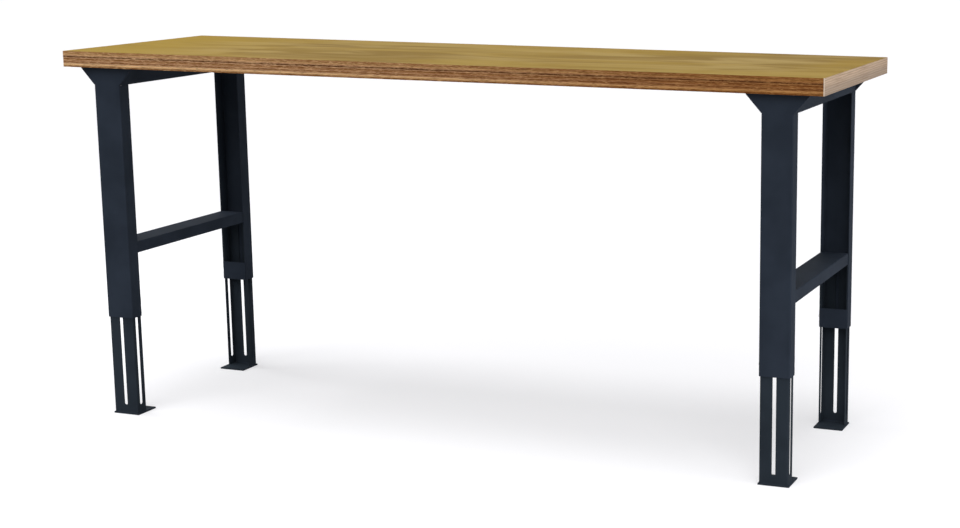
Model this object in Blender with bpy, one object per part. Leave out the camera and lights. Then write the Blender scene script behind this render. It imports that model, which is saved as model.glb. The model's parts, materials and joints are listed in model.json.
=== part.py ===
"""Height-adjustable work table: a plywood worktop on two welded sheet-steel end frames.

Each end frame is two upright channels joined by a top rail and a crossbar. A smaller slotted channel on a
foot plate slides in each upright, and a clamp bolt through one of its slots holds it at the chosen height.
Lengths are in metres. The origin is on the floor under the middle of the table, +X along its length, -Y its
front, +Z up.
"""
import math

import bmesh
import bpy
from mathutils import Vector

# Worktop
TOP_LENGTH = 2.000
TOP_DEPTH = 0.600
TOP_THICKNESS = 0.040
TOP_CHAMFER = 0.0008
UNDERSIDE_HEIGHT = 0.910

# Upper legs: folded channels with the web facing out to the front or the back
SHEET = 0.002
BEND_RADIUS = 0.003
LEG_WIDTH = 0.075
LEG_DEPTH = 0.038
LEG_END_INSET = 0.075
LEG_FACE_INSET = 0.020
UPPER_LEG_BOTTOM = 0.260
EAR_REACH = 0.037
EAR_TIP = 0.003
BEND_RELIEF = 0.001

# Top rail: a channel that opens downwards, between the webs of the two legs
RAIL_HEIGHT = 0.045

# How much of each flange's edge the crossbar and the guide plates lap
EDGE_LAP = 0.0005

# Crossbar: a rectangular tube that ends at the flanges' edges, clear of the lower legs' way
CROSSBAR_BOTTOM = 0.427
CROSSBAR_HEIGHT = 0.030

# Guide plate: closes the open side of each upper leg at its bottom end
GUIDE_HEIGHT = 0.050

# Lower legs: slotted channels that slide in the upper legs
SLIDE_CLEARANCE = 0.0004
LOWER_LEG_LENGTH = 0.440
WEB_SLOT_WIDTH = 0.009
SLOT_START = 0.021
SLOT_END_MARGIN = 0.020

# Foot plates
FOOT_WIDTH = 0.076
FOOT_LENGTH = 0.073
FOOT_THICKNESS = 0.004
FOOT_LIP = 0.0009

# Clamp bolts, M10, whose low button heads lie on the upper leg, with a washer and a nut in the lower leg
BOLT_DIAMETER = 0.010
BOLT_LENGTH = 0.020
BOLT_HOLE_CLEARANCE = 0.0005
HEAD_DIAMETER = 0.0175
HEAD_HEIGHT = 0.0055
HEAD_FLAT = 0.0070
NUT_HEIGHT = 0.008
HEX_FLATS = 0.017
WASHER_DIAMETER = 0.020
WASHER_THICKNESS = 0.002

# Worktop screws, from below through the top rails
SCREW_DIAMETER = 0.006
SCREW_LENGTH = 0.035
SCREW_TIP_LENGTH = 0.006
SCREW_TIP_DIAMETER = 0.0015
SCREW_HEAD_DIAMETER = 0.012
SCREW_HEAD_HEIGHT = 0.004
SCREW_HOLE_CLEARANCE = 0.0005
SCREW_ROW_OFFSET = 0.018
SCREW_SPACING = 0.170

# The gap that touching pieces keep, and how finely round shapes are made
FIT_GAP = 0.0003
CUT_OVERRUN = 0.001
BEND_SEGMENTS = 4
ROUND_SEGMENTS = 18
SCREW_SEGMENTS = 12
HEAD_SEGMENTS = 4
SLOT_END_SEGMENTS = 8
SMOOTH_ANGLE = math.radians(35)

# Places that follow from the sizes
LEG_X = TOP_LENGTH / 2 - LEG_END_INSET - LEG_WIDTH / 2
LEG_Y = TOP_DEPTH / 2 - LEG_FACE_INSET
RAIL_TOP = UNDERSIDE_HEIGHT - FIT_GAP
RAIL_BOTTOM = RAIL_TOP - RAIL_HEIGHT
FLANGE_TOP = RAIL_BOTTOM - FIT_GAP
RAIL_HALF_LENGTH = LEG_Y - SHEET - FIT_GAP
LAPPED_WIDTH = LEG_WIDTH - 2 * (SHEET - EDGE_LAP)
CROSSBAR_HALF_LENGTH = LEG_Y - LEG_DEPTH - FIT_GAP
LOWER_LEG_WIDTH = LEG_WIDTH - 2 * (SHEET + SLIDE_CLEARANCE)
LOWER_LEG_DEPTH = LEG_DEPTH - SHEET - 2 * SLIDE_CLEARANCE
LOWER_LEG_FACE = SHEET + SLIDE_CLEARANCE
LOWER_LEG_BOTTOM = FOOT_THICKNESS + FIT_GAP
FLANGE_SLOT_Y = LOWER_LEG_FACE + LOWER_LEG_DEPTH / 2
FLANGE_SLOT_WIDTH = BOLT_DIAMETER + 2 * BOLT_HOLE_CLEARANCE
CLAMP_HEIGHT = UPPER_LEG_BOTTOM + GUIDE_HEIGHT / 2
SCREW_SEAT = RAIL_TOP - SHEET - FIT_GAP

POWDER_COAT = {"colour": (0.023, 0.028, 0.041, 1.0), "roughness": 0.45, "metallic": 0.1}
PLYWOOD = {"colour": (0.42, 0.30, 0.11, 1.0), "roughness": 0.40, "metallic": 0.0}
ZINC = {"colour": (0.60, 0.61, 0.62, 1.0), "roughness": 0.35, "metallic": 1.0}


def clear_scene():
    """Removes whatever the scene holds."""
    for thing in list(bpy.data.objects):
        bpy.data.objects.remove(thing, do_unlink=True)


def material(name, finish):
    """A Principled material with the finish's colour, roughness and metallic value."""
    made = bpy.data.materials.new(name)
    made.use_nodes = True
    shader = made.node_tree.nodes["Principled BSDF"]
    shader.inputs["Base Color"].default_value = finish["colour"]
    shader.inputs["Roughness"].default_value = finish["roughness"]
    shader.inputs["Metallic"].default_value = finish["metallic"]
    made.diffuse_color = finish["colour"]
    return made


def add_object(name, shape, parent=None):
    """Turns a bmesh into an object in the scene."""
    bmesh.ops.recalc_face_normals(shape, faces=shape.faces)
    mesh = bpy.data.meshes.new(name)
    shape.to_mesh(mesh)
    shape.free()
    made = bpy.data.objects.new(name, mesh)
    made.parent = parent
    bpy.context.scene.collection.objects.link(made)
    return made


def add_piece(name, shape, finish, parent=None):
    """One sub-part, smooth over its bends and with a material of its own."""
    piece = add_object(name, shape, parent)
    piece.data.materials.append(material(name, finish))
    piece.data.shade_smooth()
    piece.data.set_sharp_from_angle(angle=SMOOTH_ANGLE)
    return piece


def cut(piece, name, shape):
    """Cuts a shape, given in the piece's own coordinates, out of the piece, and returns the cutter."""
    tool = add_object(f"{name}_cutter", shape, piece)
    tool.hide_render = True
    tool.display_type = "WIRE"
    boolean = piece.modifiers.new(name, "BOOLEAN")
    boolean.operation = "DIFFERENCE"
    boolean.solver = "EXACT"
    boolean.object = tool
    return tool


def add_empty(name, location, turn=0.0):
    """A place that pieces hang from."""
    empty = bpy.data.objects.new(name, None)
    empty.location = location
    empty.rotation_euler = (0.0, 0.0, turn)
    empty.empty_display_size = LEG_WIDTH
    bpy.context.scene.collection.objects.link(empty)
    return empty


def pull(shape, face, offset):
    """Extrudes one face by an offset and returns the new end face."""
    end = bmesh.ops.extrude_discrete_faces(shape, faces=[face])["faces"][0]
    bmesh.ops.translate(shape, verts=end.verts, vec=offset)
    return end


def face_near(shape, point):
    """The face whose centre is nearest to a point."""
    target = Vector(point)
    return min(shape.faces, key=lambda face: (face.calc_center_median() - target).length)


def box(low, high):
    """A rectangular block between two corners."""
    shape = bmesh.new()
    base = [(low[0], low[1]), (high[0], low[1]), (high[0], high[1]), (low[0], high[1])]
    face = shape.faces.new([shape.verts.new((x, y, low[2])) for x, y in base])
    top = bmesh.ops.extrude_face_region(shape, geom=[face])["geom"]
    shift(shape, top, (0.0, 0.0, high[2] - low[2]))
    return shape


def shift(shape, geometry, offset):
    """Moves the vertices among some geometry by an offset."""
    verts = [part for part in geometry if isinstance(part, bmesh.types.BMVert)]
    bmesh.ops.translate(shape, verts=verts, vec=offset)


def arc(centre, radius, start, end, segments):
    """Points on an arc between two angles in degrees."""
    angles = [math.radians(start + (end - start) * step / segments) for step in range(segments + 1)]
    return [(centre[0] + radius * math.cos(a), centre[1] + radius * math.sin(a)) for a in angles]


def channel_patches(width, depth):
    """The section of a folded channel: its web, on y = 0, and a bend with its flange on each side."""
    bend = (width / 2 - BEND_RADIUS, BEND_RADIUS)
    outside = arc(bend, BEND_RADIUS, -90, 0, BEND_SEGMENTS)
    inside = arc(bend, BEND_RADIUS - SHEET, 0, -90, BEND_SEGMENTS)
    right = outside + [(width / 2, depth), (width / 2 - SHEET, depth)] + inside
    left = [(-x, y) for x, y in reversed(right)]
    web = [(-bend[0], 0.0), (bend[0], 0.0), (bend[0], SHEET), (-bend[0], SHEET)]
    return [left, web, right]


def folded_channel(width, depth, bottom, top):
    """A folded channel standing on its end, as a bmesh whose three patches share their edges."""
    shape = bmesh.new()
    verts = {}
    for patch in channel_patches(width, depth):
        keys = [(round(x, 7), round(y, 7)) for x, y in patch]
        for key, (x, y) in zip(keys, patch):
            if key not in verts:
                verts[key] = shape.verts.new((x, y, bottom))
        shape.faces.new([verts[key] for key in keys])
    ends = bmesh.ops.extrude_face_region(shape, geom=list(shape.faces))["geom"]
    shift(shape, ends, (0.0, 0.0, top - bottom))
    return shape


def slot(along, middle, width, low, high, near, far):
    """A cutter for an upright slot with round ends, which runs along x or y from near to far."""
    radius = width / 2
    outline = arc((middle, low + radius), radius, 180, 360, SLOT_END_SEGMENTS)
    outline += arc((middle, high - radius), radius, 0, 180, SLOT_END_SEGMENTS)
    shape = bmesh.new()
    if along == "y":
        verts = [shape.verts.new((across, near, z)) for across, z in outline]
        reach = (0.0, far - near, 0.0)
    else:
        verts = [shape.verts.new((near, across, z)) for across, z in outline]
        reach = (far - near, 0.0, 0.0)
    ends = bmesh.ops.extrude_face_region(shape, geom=[shape.faces.new(verts)])["geom"]
    shift(shape, ends, reach)
    return shape


def ring_points(kind, size, segments):
    """A round ring of a radius, or a hexagonal one of half a width across flats."""
    for step in range(segments):
        angle = 2 * math.pi * step / segments
        corner = math.cos(angle % (math.pi / 3) - math.pi / 6) if kind == "hex" else 1.0
        yield size / corner * math.cos(angle), size / corner * math.sin(angle)


def turned(shape, sections, segments, centre=(0.0, 0.0), hollow=False):
    """Adds a solid about an upright axis, from sections that are each a kind, a size and a height.

    A hollow solid joins its last section back to its first, and any other one is closed by end faces.
    """
    rings = []
    for kind, size, height in sections:
        points = ring_points(kind, size, segments)
        rings.append([shape.verts.new((centre[0] + x, centre[1] + y, height)) for x, y in points])
    following = rings[1:] + rings[:1] if hollow else rings[1:]
    for first, second in zip(rings, following):
        for step in range(segments):
            after = (step + 1) % segments
            shape.faces.new([first[step], first[after], second[after], second[step]])
    if not hollow:
        shape.faces.new(rings[0])
        shape.faces.new(rings[-1])


def rod(shape, radius, low, high, segments, centre=(0.0, 0.0)):
    """Adds a plain round bar about an upright axis."""
    turned(shape, [("round", radius, low), ("round", radius, high)], segments, centre)


def ring(kind, size, bore, low, height):
    """A washer or a nut about an upright axis."""
    sections = [
        (kind, size, low),
        (kind, size, low + height),
        ("round", bore, low + height),
        ("round", bore, low),
    ]
    shape = bmesh.new()
    turned(shape, sections, ROUND_SEGMENTS, hollow=True)
    return shape


def corners():
    """Each leg's name, the floor point under the middle of its web's outer face, and its turn about Z."""
    for side, x in (("left", -LEG_X), ("right", LEG_X)):
        yield f"front_{side}", (x, -LEG_Y, 0.0), 0.0
        yield f"rear_{side}", (x, LEG_Y, 0.0), math.pi


def screw_places():
    """Where an end frame's worktop screws stand, seen from above and from the frame's middle."""
    for row in (-SCREW_ROW_OFFSET, SCREW_ROW_OFFSET):
        for along in (-SCREW_SPACING, 0.0, SCREW_SPACING):
            yield row, along


def add_worktop():
    """The plywood board, with a blind pilot hole for every worktop screw."""
    low = (-TOP_LENGTH / 2, -TOP_DEPTH / 2, UNDERSIDE_HEIGHT)
    high = (TOP_LENGTH / 2, TOP_DEPTH / 2, UNDERSIDE_HEIGHT + TOP_THICKNESS)
    worktop = add_piece("worktop", box(low, high), PLYWOOD)
    chamfer = worktop.modifiers.new("chamfer", "BEVEL")
    chamfer.width = TOP_CHAMFER
    chamfer.segments = 1
    holes = bmesh.new()
    bottom = UNDERSIDE_HEIGHT - CUT_OVERRUN
    end = SCREW_SEAT + SCREW_LENGTH + FIT_GAP
    for middle in (-LEG_X, LEG_X):
        for x, y in screw_places():
            rod(holes, SCREW_DIAMETER / 2 + FIT_GAP, bottom, end, SCREW_SEGMENTS, (middle + x, y))
    cut(worktop, "pilot_holes", holes)


def upper_leg_shape():
    """The upper leg: its flanges stop under the rail, and its web runs on and spreads into two ears."""
    shape = folded_channel(LEG_WIDTH, LEG_DEPTH, UPPER_LEG_BOTTOM, FLANGE_TOP)
    head_bottom = FLANGE_TOP + BEND_RELIEF
    neck = pull(shape, face_near(shape, (0.0, SHEET / 2, FLANGE_TOP)), (0.0, 0.0, BEND_RELIEF))
    pull(shape, neck, (0.0, 0.0, RAIL_TOP - head_bottom))
    middle = (head_bottom + RAIL_TOP) / 2
    for side in (-1, 1):
        edge = (side * (LEG_WIDTH / 2 - BEND_RADIUS), SHEET / 2, middle)
        shoulder = pull(shape, face_near(shape, edge), (side * BEND_RADIUS, 0.0, 0.0))
        tip = pull(shape, shoulder, (side * EAR_REACH, 0.0, 0.0))
        for vert in tip.verts:
            if vert.co.z < middle:
                vert.co.z = RAIL_TOP - EAR_TIP
    return shape


def add_upper_leg(name, place, turn):
    """An upper leg, with the clamp bolt's hole in its flange on the table's -X side, and its guide plate."""
    stand = add_empty(f"{name}_stand", place, turn)
    leg = add_piece(f"upper_leg_{name}", upper_leg_shape(), POWDER_COAT, stand)
    hole = bmesh.new()
    reach = SHEET / 2 + CUT_OVERRUN
    rod(hole, BOLT_DIAMETER / 2 + BOLT_HOLE_CLEARANCE, -reach, reach, ROUND_SEGMENTS)
    flange_middle = (LEG_WIDTH - SHEET) / 2
    bolt_side = -flange_middle if turn == 0.0 else flange_middle
    cutter = cut(leg, f"{name}_bolt_hole", hole)
    cutter.location = (bolt_side, FLANGE_SLOT_Y, CLAMP_HEIGHT)
    cutter.rotation_euler = (0.0, math.pi / 2, 0.0)
    face = LEG_DEPTH + FIT_GAP
    low = (-LAPPED_WIDTH / 2, face, UPPER_LEG_BOTTOM)
    high = (LAPPED_WIDTH / 2, face + SHEET, UPPER_LEG_BOTTOM + GUIDE_HEIGHT)
    add_piece(f"guide_plate_{name}", box(low, high), POWDER_COAT, stand)


def add_lower_leg(name, place, turn):
    """A slotted lower leg and its foot plate, which hang from an empty on the line that they slide along."""
    slide = add_empty(f"{name}_slide", place, turn)
    top = LOWER_LEG_BOTTOM + LOWER_LEG_LENGTH
    shape = folded_channel(LOWER_LEG_WIDTH, LOWER_LEG_DEPTH, LOWER_LEG_BOTTOM, top)
    shift(shape, shape.verts, (0.0, LOWER_LEG_FACE, 0.0))
    leg = add_piece(f"lower_leg_{name}", shape, POWDER_COAT, slide)
    low, high = LOWER_LEG_BOTTOM + SLOT_START, top - SLOT_END_MARGIN
    near, far = LOWER_LEG_FACE - CUT_OVERRUN, LOWER_LEG_FACE + SHEET + CUT_OVERRUN
    cut(leg, f"{name}_web_slot", slot("y", 0.0, WEB_SLOT_WIDTH, low, high, near, far))
    side = LOWER_LEG_WIDTH / 2 + CUT_OVERRUN
    slots = slot("x", FLANGE_SLOT_Y, FLANGE_SLOT_WIDTH, low, high, -side, side)
    cut(leg, f"{name}_flange_slots", slots)
    near = LOWER_LEG_FACE - FOOT_LIP
    foot = box((-FOOT_WIDTH / 2, near, 0.0), (FOOT_WIDTH / 2, near + FOOT_LENGTH, FOOT_THICKNESS))
    add_piece(f"foot_plate_{name}", foot, POWDER_COAT, slide)


def rail_shape():
    """The top rail, folded like a leg and then laid down with its web on top."""
    shape = folded_channel(LEG_WIDTH, RAIL_HEIGHT, -RAIL_HALF_LENGTH, RAIL_HALF_LENGTH)
    for vert in shape.verts:
        x, depth, along = vert.co
        vert.co = (x, along, RAIL_TOP - depth)
    return shape


def add_top_rail(side, x):
    """A top rail with its screw holes."""
    middle = add_empty(f"{side}_rail_middle", (x, 0.0, 0.0))
    rail = add_piece(f"top_rail_{side}", rail_shape(), POWDER_COAT, middle)
    holes = bmesh.new()
    radius = SCREW_DIAMETER / 2 + SCREW_HOLE_CLEARANCE
    for place in screw_places():
        rod(holes, radius, RAIL_TOP - SHEET - CUT_OVERRUN, RAIL_TOP + CUT_OVERRUN, SCREW_SEGMENTS, place)
    cut(rail, f"{side}_screw_holes", holes)


def rounded_rectangle(width, height, radius):
    """A rectangle's outline about the origin, with round corners."""
    points = []
    for quarter, (x, y) in enumerate(((1, 1), (-1, 1), (-1, -1), (1, -1))):
        centre = (x * (width / 2 - radius), y * (height / 2 - radius))
        points += arc(centre, radius, 90 * quarter, 90 * quarter + 90, BEND_SEGMENTS)
    return points


def add_crossbar(side, x):
    """The rectangular tube between the two legs of an end frame."""
    outside = rounded_rectangle(LAPPED_WIDTH, CROSSBAR_HEIGHT, BEND_RADIUS)
    hollow = (LAPPED_WIDTH - 2 * SHEET, CROSSBAR_HEIGHT - 2 * SHEET)
    inside = rounded_rectangle(*hollow, BEND_RADIUS - SHEET)
    height = CROSSBAR_BOTTOM + CROSSBAR_HEIGHT / 2
    half = CROSSBAR_HALF_LENGTH
    shape = bmesh.new()
    loops = []
    for outline, y in ((outside, -half), (outside, half), (inside, half), (inside, -half)):
        loops.append([shape.verts.new((across, y, height + up)) for across, up in outline])
    for first, second in zip(loops, loops[1:] + loops[:1]):
        for step, start in enumerate(first):
            after = (step + 1) % len(first)
            shape.faces.new([start, first[after], second[after], second[step]])
    middle = add_empty(f"{side}_crossbar_middle", (x, 0.0, 0.0))
    add_piece(f"crossbar_{side}", shape, POWDER_COAT, middle)


def bolt_shape(seat):
    """A button-head bolt about an upright axis, with the underside of its head at seat."""
    flat, rim = HEAD_FLAT / 2, HEAD_DIAMETER / 2
    dome = (rim ** 2 + HEAD_HEIGHT ** 2) / (2 * HEAD_HEIGHT)
    sections = []
    for step in range(HEAD_SEGMENTS + 1):
        radius = flat + (rim - flat) * step / HEAD_SEGMENTS
        height = math.sqrt(dome ** 2 - radius ** 2) - dome + HEAD_HEIGHT
        sections.append(("round", radius, seat - height))
    sections.append(("round", BOLT_DIAMETER / 2, seat))
    sections.append(("round", BOLT_DIAMETER / 2, seat + BOLT_LENGTH))
    shape = bmesh.new()
    turned(shape, sections, ROUND_SEGMENTS)
    return shape


def clamp_hardware():
    """The clamp bolt, its washer and its nut, as shapes about the bolt's axis from the leg's middle out."""
    washer_seat = -LOWER_LEG_WIDTH / 2 + SHEET + FIT_GAP
    nut_seat = washer_seat + WASHER_THICKNESS + FIT_GAP
    washer = (WASHER_DIAMETER / 2, BOLT_DIAMETER / 2 + BOLT_HOLE_CLEARANCE)
    yield "clamp_bolt", bolt_shape(-LEG_WIDTH / 2 - FIT_GAP)
    yield "clamp_washer", ring("round", *washer, washer_seat, WASHER_THICKNESS)
    yield "clamp_nut", ring("hex", HEX_FLATS / 2, BOLT_DIAMETER / 2 + FIT_GAP, nut_seat, NUT_HEIGHT)


def add_clamps():
    """The bolt, washer and nut that clamp each leg."""
    axes = {}
    for name, (x, y, _), turn in corners():
        inward = FLANGE_SLOT_Y if turn == 0.0 else -FLANGE_SLOT_Y
        axes[name] = add_empty(f"{name}_clamp_axis", (x, y + inward, CLAMP_HEIGHT))
        axes[name].rotation_euler = (0.0, math.pi / 2, 0.0)
    for kind, shape in clamp_hardware():
        add_copies([(f"{kind}_{name}", axis) for name, axis in axes.items()], shape)


def add_worktop_screws():
    """The pan-head screws that hold the worktop to the two top rails."""
    head = SCREW_HEAD_DIAMETER / 2
    profile = [
        ("round", head - SCREW_HEAD_HEIGHT / 2, -SCREW_HEAD_HEIGHT),
        ("round", head, -SCREW_HEAD_HEIGHT / 2),
        ("round", head, 0.0),
        ("round", SCREW_DIAMETER / 2, 0.0),
        ("round", SCREW_DIAMETER / 2, SCREW_LENGTH - SCREW_TIP_LENGTH),
        ("round", SCREW_TIP_DIAMETER / 2, SCREW_LENGTH),
    ]
    shape = bmesh.new()
    turned(shape, profile, SCREW_SEGMENTS)
    places = []
    for side, middle in (("left", -LEG_X), ("right", LEG_X)):
        for number, (x, y) in enumerate(screw_places(), start=1):
            seat = add_empty(f"{side}_screw_{number}_seat", (middle + x, y, SCREW_SEAT))
            places.append((f"worktop_screw_{side}_{number}", seat))
    add_copies(places, shape)


def add_copies(places, shape):
    """One object for each name and parent, all of them with the same zinc-plated mesh."""
    first = add_piece(places[0][0], shape, ZINC, places[0][1])
    for name, parent in places[1:]:
        copy = bpy.data.objects.new(name, first.data)
        copy.parent = parent
        bpy.context.scene.collection.objects.link(copy)


def build():
    """The whole table."""
    clear_scene()
    add_worktop()
    for side, x in (("left", -LEG_X), ("right", LEG_X)):
        add_top_rail(side, x)
        add_crossbar(side, x)
    for name, place, turn in corners():
        add_upper_leg(name, place, turn)
        add_lower_leg(name, place, turn)
    add_clamps()
    add_worktop_screws()


build()
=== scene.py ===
"""Looks of the height-adjustable work table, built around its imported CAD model."""
import json
import math

import bmesh
import bpy
from mathutils import Matrix, Vector

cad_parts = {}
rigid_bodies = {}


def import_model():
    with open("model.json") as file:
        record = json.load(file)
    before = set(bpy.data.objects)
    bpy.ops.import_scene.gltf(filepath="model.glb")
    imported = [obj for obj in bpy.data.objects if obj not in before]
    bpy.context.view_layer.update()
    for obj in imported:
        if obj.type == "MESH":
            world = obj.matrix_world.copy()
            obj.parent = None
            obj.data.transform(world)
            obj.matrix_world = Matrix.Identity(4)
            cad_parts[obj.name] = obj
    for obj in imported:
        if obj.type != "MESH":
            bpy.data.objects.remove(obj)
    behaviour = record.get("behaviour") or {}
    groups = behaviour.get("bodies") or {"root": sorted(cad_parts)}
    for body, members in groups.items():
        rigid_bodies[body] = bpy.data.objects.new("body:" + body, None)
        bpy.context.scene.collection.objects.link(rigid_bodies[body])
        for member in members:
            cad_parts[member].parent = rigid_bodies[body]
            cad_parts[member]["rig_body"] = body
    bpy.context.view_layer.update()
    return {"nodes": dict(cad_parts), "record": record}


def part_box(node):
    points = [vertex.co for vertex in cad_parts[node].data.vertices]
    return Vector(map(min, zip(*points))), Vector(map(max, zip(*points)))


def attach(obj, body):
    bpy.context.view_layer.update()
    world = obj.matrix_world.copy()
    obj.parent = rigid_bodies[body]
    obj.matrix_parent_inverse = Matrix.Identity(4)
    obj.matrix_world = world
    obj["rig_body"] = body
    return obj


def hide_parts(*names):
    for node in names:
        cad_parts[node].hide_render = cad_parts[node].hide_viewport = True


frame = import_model()

# Camera, as the photograph's corners give it, for an image of 960 by 528 pixels
IMAGE_WIDTH = 960
IMAGE_HEIGHT = 528
SENSOR = 36.0
FOCAL_PIXELS = 1778.25
CENTRE_PIXELS = (710.4, 251.2)
CAMERA_PLACE = (2.014609, -4.054364, 1.314402)
CAMERA_AZIMUTH = -0.327542
CAMERA_FALL = 0.190858
CAMERA_ROLL = 0.00477

# Worktop
PLIES = 15
LEVELS_PER_PLY = 3
GLUE_GROOVE = 0.00010
PLY_STEP = 0.00005
GLUE_LINE_HALF = 0.00022
JOINT_BAND = 0.1
ROW_PULL = 0.22
ROW_NUDGE = 0.02
BOARD_INNER_HALF = 0.49
BOARD_ARRIS = 0.0018
ARRIS_SEGMENTS = 3
ARRIS_ANGLE = math.radians(60)
# Width of the painted highlight on the board's upright corners
PAINTED_HIGHLIGHT_REACH = 0.0022
HOLE_CLEARANCE = 0.0003
HOLE_SIDES = 24
MERGE_DISTANCE = 0.00001

# Coated steel
SHEET = 0.002
EDGE_ROUNDING = 0.00032
EDGE_SEGMENTS = 2
FLAT_ANGLE = math.radians(1)
SHARP_ANGLE = math.radians(35)
ROUND_ANGLE = math.radians(50)
FLAT_FACE_WEIGHT = 60

# Weld beads: their ripple, their radii, and how far they lie and end from the edges of the sheet
RIPPLE_PITCH = 0.0019
RIPPLE_DEPTH = 0.17
BEAD_STEP = 0.0004
BEAD_WANDER = 0.00016
WANDER_PER_METRE = 260.0
BEAD_END_FALL = 0.8
BEAD_SIDES = 10
HALF_GAP = 0.00015
RAIL_BEAD = 0.0019
RAIL_BEAD_LOW = 0.0043
RAIL_BEAD_HIGH = 0.0042
FLANGE_BEAD = 0.0011
FLANGE_BEAD_SINK = 0.0006
FLANGE_BEAD_NEAR = 0.0095
FLANGE_BEAD_FAR = 0.0025
CORNER_BEAD = 0.0014
CORNER_BEAD_INSET = 0.0018
CORNER_BEAD_BELOW = 0.0010
CORNER_BEAD_ABOVE = 0.0045
BAR_BEAD = 0.0011
GUIDE_BEAD = 0.0010
GUIDE_BEAD_APART = 0.006
LAP_BEAD_OUT = 0.0006
LAP_BEAD_END = 0.0035
WEB_BEAD = 0.0020
WEB_BEAD_HALF = 0.029
FOOT_BEAD = 0.0019
FOOT_BEAD_NEAR = 0.0070
FOOT_BEAD_FAR = 0.0350
FOOT_FACE_BEAD = 0.0008

# Fasteners
THREAD_POINT = 0.25
HEX_FLATS = 0.017
HEX_SIDES = 48
CHAMFER_START = 0.95
CHAMFER_SLOPE = math.tan(math.radians(30))
BOLT_HEAD_RADIUS = 0.00875
BOLT_HEAD_HEIGHT = 0.0055
BOLT_HEAD_FLAT = 0.0037
BOLT_DOME_STEPS = 12
BOLT_SOCKET = 0.0030
BOLT_SOCKET_DEPTH = 0.0035
BOLT_RADIUS = 0.005
BOLT_PITCH = 0.0015
BOLT_THREAD_DEPTH = 0.0009
BOLT_THREAD_SIDES = 20
BOLT_ROWS_PER_TURN = 8
BOLT_TIP = 0.001
WASHER_RADIUS = 0.010
WASHER_BORE = 0.0055
WASHER_THICKNESS = 0.002
WASHER_SIDES = 40
NUT_HEIGHT = 0.008
SOFT_RIM = 0.0003
SCREW_HEAD_RADIUS = 0.006
SCREW_HEAD_HEIGHT = 0.004
SCREW_HEAD_ANGLES = (12, 30, 48, 64, 80, 90)
SCREW_HEAD_EDGE = 0.35
SCREW_HEAD_SIDES = 28
SCREW_RADIUS = 0.003
SCREW_PITCH = 0.0024
SCREW_THREAD_DEPTH = 0.0009
SCREW_THREAD_SIDES = 14
SCREW_ROWS_PER_TURN = 6
SCREW_TIP = 0.008
SCREW_LENGTH = 0.035

# A screw's cross recess, in shares of its head's radius and height
CROSS_LENGTH = 1.1
CROSS_WIDTH = 0.24
CROSS_DEPTH = 0.9
CROSS_PLACE = 1.05
CROSS_NARROWING = 0.55
CROSS_VOXEL = 0.00018

# Floor
FLOOR_HALF = 120.0
FLOOR_DROP = 0.0004
FLOOR_BLUE = 1.025

# Gloss and fine texture of the finishes
STEEL_SPECULAR = 0.02
STEEL_ROUGHNESS = 0.56
CLOUDS_PER_METRE = 7.0
PEEL_PER_METRE = 620.0
GRAIN_PER_METRE = 2600.0
DEEP_SHARE = 0.86
LIGHT_SHARE = 1.14
FLECK_SHARE = 1.7
ZINC_ROUGHNESS = 0.26
ZINC_CLOUDS_PER_METRE = 260.0
TURNING_MARKS = (900.0, 4200.0, 4200.0)
TURNING_DEPTH = 0.00003
BOARD_SPECULAR = 0.04
BOARD_ROUGHNESS = 0.70
PORES_PER_METRE = 900.0
TEXTURE_DEPTH = 0.00012

# What the record says of the nodes
SLOT_OF = {part["node"]: part["material_slot"] for part in frame["record"]["subparts"]}
LEGS = ["front_left", "rear_left", "front_right", "rear_right"]
SCREWS = sorted(node for node in SLOT_OF if node.startswith("worktop_screw"))
STEEL = [node for node in SLOT_OF if SLOT_OF[node] in ("frame_paint", "leg_paint")]

# Places that the CAD gives
board_low, board_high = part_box("worktop")
BOARD_SIZE = board_high - board_low
BOARD_MIDDLE = (board_high + board_low) / 2
PLY_THICKNESS = BOARD_SIZE.z / PLIES
guide_low, guide_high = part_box("guide_plate_rear_right")
bar_low, bar_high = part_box("crossbar_right")
rail_low, rail_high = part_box("top_rail_right")
leg_low, leg_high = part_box("upper_leg_rear_right")
lower_low, lower_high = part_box("lower_leg_rear_right")
bolt_low, bolt_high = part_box("clamp_bolt_front_left")
LEG_X = (rail_low.x + rail_high.x) / 2
LEG_Y = leg_high.y
LEG_HALF_WIDTH = (rail_high.x - rail_low.x) / 2
LEG_DEPTH = leg_high.y - leg_low.y
LOWER_LEG_HALF_WIDTH = (lower_high.x - lower_low.x) / 2
LOWER_LEG_FACE = LEG_Y - lower_high.y
BAR_HALF_WIDTH = (bar_high.x - bar_low.x) / 2
BOLT_LENGTH = bolt_high.x - bolt_low.x
FOOT_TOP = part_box("foot_plate_rear_right")[1].z


def srgb(red, green, blue):
    """A colour written as 0 to 255 on screen, as the linear colour that a shader takes."""
    def linear(value):
        share = value / 255
        return share / 12.92 if share <= 0.04045 else ((share + 0.055) / 1.055) ** 2.4
    return (linear(red), linear(green), linear(blue), 1.0)


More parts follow.
